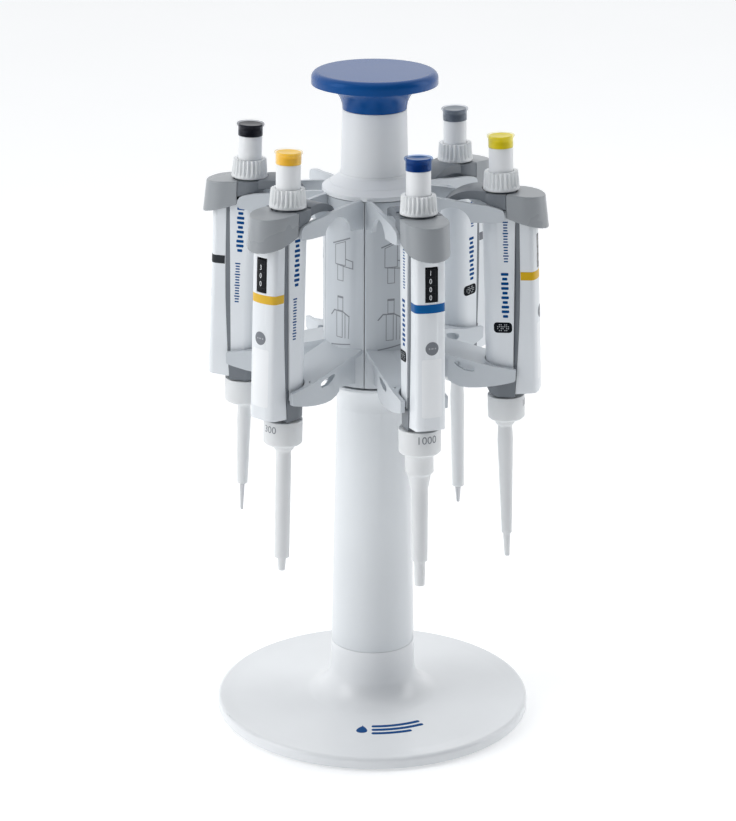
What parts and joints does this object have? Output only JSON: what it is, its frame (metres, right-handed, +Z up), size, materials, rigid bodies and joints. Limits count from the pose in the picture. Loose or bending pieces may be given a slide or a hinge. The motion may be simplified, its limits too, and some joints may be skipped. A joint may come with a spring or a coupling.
{
  "type": "pipette set",
  "caption": "Adjustable piston pipettes hanging on a round rotary stand with a weighted foot, column, turning hub with forked holders and a flat blue knob.",
  "frame": {"origin": "centre of the round foot in the plane its pads stand on", "axes": "+Z up the column; -Y towards the viewer of the stand, with the seam of the hub a little left of -Y"},
  "size_m": [0.2112, 0.2018, 0.416],
  "materials": {
    "foot_white": "smooth satin white",
    "column_white": "satin white",
    "weight_iron": "black iron",
    "pad_rubber": "matte black",
    "shaft_steel": "ground steel",
    "hub_plastic": "satin light grey",
    "holder_white": "satin pale grey-white",
    "sleeve_white": "satin white",
    "knob_blue": "deep blue, satin",
    "handle_grey": "satin mid grey",
    "cover_white": "satin cool white",
    "hood_grey": "satin grey",
    "ring_white": "milky white",
    "stem_white": "smooth white",
    "drum_black": "black",
    "cone_white": "milky white",
    "cone_steel": "bright steel",
    "button_blue": "deep blue",
    "button_orange": "orange",
    "button_yellow": "yellow",
    "button_grey": "mid grey",
    "button_black": "near black"
  },
  "bodies": {
    "stand": {"base_plate": "foot_white", "base_weight": "weight_iron", "rubber_feet": "pad_rubber", "column": "column_white", "spindle": "shaft_steel", "thrust_bearing": "shaft_steel"},
    "carousel": {"hub_core": "hub_plastic", "holders": "holder_white", "upper_sleeve": "sleeve_white", "knob": "knob_blue"},
    "p1000_handle": {"p1000_housing": "handle_grey", "p1000_front_cover": "cover_white", "p1000_rear_cover": "cover_white"},
    "p1000_plunger_body": {"p1000_plunger": "stem_white", "p1000_button_cap": "button_blue"},
    "p1000_ring": {"p1000_volume_ring": "ring_white"},
    "p1000_counter_body": {"p1000_counter": "drum_black"},
    "p1000_ejector": {"p1000_ejector_button": "hood_grey", "p1000_ejector_sleeve": "cone_white"},
    "p1000_cone": {"p1000_tip_cone": "cone_white"},
    "p300_handle": {"p300_housing": "handle_grey", "p300_front_cover": "cover_white", "p300_rear_cover": "cover_white"},
    "p300_plunger_body": {"p300_plunger": "stem_white", "p300_button_cap": "button_orange"},
    "p300_ring": {"p300_volume_ring": "ring_white"},
    "p300_counter_body": {"p300_counter": "drum_black"},
    "p300_ejector": {"p300_ejector_button": "hood_grey", "p300_ejector_sleeve": "cone_white"},
    "p300_cone": {"p300_tip_cone": "cone_white"},
    "p100_handle": {"p100_housing": "handle_grey", "p100_front_cover": "cover_white", "p100_rear_cover": "cover_white"},
    "p100_plunger_body": {"p100_plunger": "stem_white", "p100_button_cap": "button_yellow"},
    "p100_ring": {"p100_volume_ring": "ring_white"},
    "p100_counter_body": {"p100_counter": "drum_black"},
    "p100_ejector": {"p100_ejector_button": "hood_grey", "p100_ejector_sleeve": "cone_white"},
    "p100_cone": {"p100_tip_cone": "cone_white"},
    "p10_handle": {"p10_housing": "handle_grey", "p10_front_cover": "cover_white", "p10_rear_cover": "cover_white"},
    "p10_plunger_body": {"p10_plunger": "stem_white", "p10_button_cap": "button_grey"},
    "p10_ring": {"p10_volume_ring": "ring_white"},
    "p10_counter_body": {"p10_counter": "drum_black"},
    "p10_ejector": {"p10_ejector_button": "hood_grey", "p10_ejector_sleeve": "cone_white"},
    "p10_cone": {"p10_tip_cone": "cone_steel"},
    "p2_5_handle": {"p2_5_housing": "handle_grey", "p2_5_front_cover": "cover_white", "p2_5_rear_cover": "cover_white"},
    "p2_5_plunger_body": {"p2_5_plunger": "stem_white", "p2_5_button_cap": "button_black"},
    "p2_5_ring": {"p2_5_volume_ring": "ring_white"},
    "p2_5_counter_body": {"p2_5_counter": "drum_black"},
    "p2_5_ejector": {"p2_5_ejector_button": "hood_grey", "p2_5_ejector_sleeve": "cone_white"},
    "p2_5_cone": {"p2_5_tip_cone": "cone_steel"}
  },
  "joints": [
    {"name": "carousel_turn", "type": "hinge", "parent": "stand", "child": "carousel", "pos_m": [0, 0, 0.3], "axis": [0, 0, 1], "continuous": true},
    {"name": "p1000_lift_off", "type": "slide", "parent": "carousel", "child": "p1000_handle", "axis": [0.2481, -0.7005, 0.6691], "range_m": [0, 0.12]},
    {"name": "p1000_push", "type": "slide", "parent": "p1000_handle", "child": "p1000_plunger_body", "axis": [0.0116, -0.0329, -0.9994], "range_m": [0, 0.012], "stiffness_N_per_m": 300, "springref_m": -0.003},
    {"name": "p1000_set", "type": "hinge", "parent": "p1000_handle", "child": "p1000_ring", "pos_m": [0.02593, -0.07322, 0.35252], "axis": [-0.0116, 0.0329, 0.9994], "range_deg": [-150, 150]},
    {"name": "p1000_count", "type": "hinge", "parent": "p1000_handle", "child": "p1000_counter_body", "pos_m": [0.03158, -0.08918, 0.30908], "axis": [-0.0116, 0.0329, 0.9994], "range_deg": [-150, 150]},
    {"name": "p1000_eject", "type": "slide", "parent": "p1000_handle", "child": "p1000_ejector", "axis": [0.0116, -0.0329, -0.9994], "range_m": [0, 0.0055], "stiffness_N_per_m": 500, "springref_m": -0.003},
    {"name": "p1000_seat", "type": "slide", "parent": "p1000_handle", "child": "p1000_cone", "axis": [-0.0116, 0.0329, 0.9994], "range_m": [0, 0.003], "stiffness_N_per_m": 900, "springref_m": -0.002},
    {"name": "p300_lift_off", "type": "slide", "parent": "carousel", "child": "p300_handle", "axis": [-0.4826, -0.5651, 0.6691], "range_m": [0, 0.12]},
    {"name": "p300_push", "type": "slide", "parent": "p300_handle", "child": "p300_plunger_body", "axis": [-0.0227, -0.0265, -0.9994], "range_m": [0, 0.012], "stiffness_N_per_m": 300, "springref_m": -0.003},
    {"name": "p300_set", "type": "hinge", "parent": "p300_handle", "child": "p300_ring", "pos_m": [-0.05045, -0.05907, 0.35252], "axis": [0.0227, 0.0265, 0.9994], "range_deg": [-150, 150]},
    {"name": "p300_count", "type": "hinge", "parent": "p300_handle", "child": "p300_counter_body", "pos_m": [-0.06144, -0.07194, 0.30908], "axis": [0.0227, 0.0265, 0.9994], "range_deg": [-150, 150]},
    {"name": "p300_eject", "type": "slide", "parent": "p300_handle", "child": "p300_ejector", "axis": [-0.0227, -0.0265, -0.9994], "range_m": [0, 0.0055], "stiffness_N_per_m": 500, "springref_m": -0.003},
    {"name": "p300_seat", "type": "slide", "parent": "p300_handle", "child": "p300_cone", "axis": [0.0227, 0.0265, 0.9994], "range_m": [0, 0.003], "stiffness_N_per_m": 900, "springref_m": -0.002},
    {"name": "p100_lift_off", "type": "slide", "parent": "carousel", "child": "p100_handle", "axis": [0.7307, -0.1354, 0.6691], "range_m": [0, 0.12]},
    {"name": "p100_push", "type": "slide", "parent": "p100_handle", "child": "p100_plunger_body", "axis": [0.0343, -0.0064, -0.9994], "range_m": [0, 0.012], "stiffness_N_per_m": 300, "springref_m": -0.003},
    {"name": "p100_set", "type": "hinge", "parent": "p100_handle", "child": "p100_ring", "pos_m": [0.07638, -0.01416, 0.35252], "axis": [-0.0343, 0.0064, 0.9994], "range_deg": [-150, 150]},
    {"name": "p100_count", "type": "hinge", "parent": "p100_handle", "child": "p100_counter_body", "pos_m": [0.09302, -0.01724, 0.30908], "axis": [-0.0343, 0.0064, 0.9994], "range_deg": [-150, 150]},
    {"name": "p100_eject", "type": "slide", "parent": "p100_handle", "child": "p100_ejector", "axis": [0.0343, -0.0064, -0.9994], "range_m": [0, 0.0055], "stiffness_N_per_m": 500, "springref_m": -0.003},
    {"name": "p100_seat", "type": "slide", "parent": "p100_handle", "child": "p100_cone", "axis": [-0.0343, 0.0064, 0.9994], "range_m": [0, 0.003], "stiffness_N_per_m": 900, "springref_m": -0.002},
    {"name": "p10_lift_off", "type": "slide", "parent": "carousel", "child": "p10_handle", "axis": [0.4826, 0.5651, 0.6691], "range_m": [0, 0.12]},
    {"name": "p10_push", "type": "slide", "parent": "p10_handle", "child": "p10_plunger_body", "axis": [0.0227, 0.0265, -0.9994], "range_m": [0, 0.012], "stiffness_N_per_m": 300, "springref_m": -0.003},
    {"name": "p10_set", "type": "hinge", "parent": "p10_handle", "child": "p10_ring", "pos_m": [0.05045, 0.05907, 0.35252], "axis": [-0.0227, -0.0265, 0.9994], "range_deg": [-150, 150]},
    {"name": "p10_count", "type": "hinge", "parent": "p10_handle", "child": "p10_counter_body", "pos_m": [0.06144, 0.07194, 0.30908], "axis": [-0.0227, -0.0265, 0.9994], "range_deg": [-150, 150]},
    {"name": "p10_eject", "type": "slide", "parent": "p10_handle", "child": "p10_ejector", "axis": [0.0227, 0.0265, -0.9994], "range_m": [0, 0.0055], "stiffness_N_per_m": 500, "springref_m": -0.003},
    {"name": "p10_seat", "type": "slide", "parent": "p10_handle", "child": "p10_cone", "axis": [-0.0227, -0.0265, 0.9994], "range_m": [0, 0.003], "stiffness_N_per_m": 900, "springref_m": -0.002},
    {"name": "p2_5_lift_off", "type": "slide", "parent": "carousel", "child": "p2_5_handle", "axis": [-0.7307, 0.1354, 0.6691], "range_m": [0, 0.12]},
    {"name": "p2_5_push", "type": "slide", "parent": "p2_5_handle", "child": "p2_5_plunger_body", "axis": [-0.0343, 0.0064, -0.9994], "range_m": [0, 0.012], "stiffness_N_per_m": 300, "springref_m": -0.003},
    {"name": "p2_5_set", "type": "hinge", "parent": "p2_5_handle", "child": "p2_5_ring", "pos_m": [-0.07638, 0.01416, 0.35252], "axis": [0.0343, -0.0064, 0.9994], "range_deg": [-150, 150]},
    {"name": "p2_5_count", "type": "hinge", "parent": "p2_5_handle", "child": "p2_5_counter_body", "pos_m": [-0.09302, 0.01724, 0.30908], "axis": [0.0343, -0.0064, 0.9994], "range_deg": [-150, 150]},
    {"name": "p2_5_eject", "type": "slide", "parent": "p2_5_handle", "child": "p2_5_ejector", "axis": [-0.0343, 0.0064, -0.9994], "range_m": [0, 0.0055], "stiffness_N_per_m": 500, "springref_m": -0.003},
    {"name": "p2_5_seat", "type": "slide", "parent": "p2_5_handle", "child": "p2_5_cone", "axis": [0.0343, -0.0064, 0.9994], "range_m": [0, 0.003], "stiffness_N_per_m": 900, "springref_m": -0.002}
  ],
  "couplings": [
    {"joint": "p1000_count", "follows": "p1000_set", "ratio": -1},
    {"joint": "p300_count", "follows": "p300_set", "ratio": -1},
    {"joint": "p100_count", "follows": "p100_set", "ratio": -1},
    {"joint": "p10_count", "follows": "p10_set", "ratio": -1},
    {"joint": "p2_5_count", "follows": "p2_5_set", "ratio": -1}
  ]
}
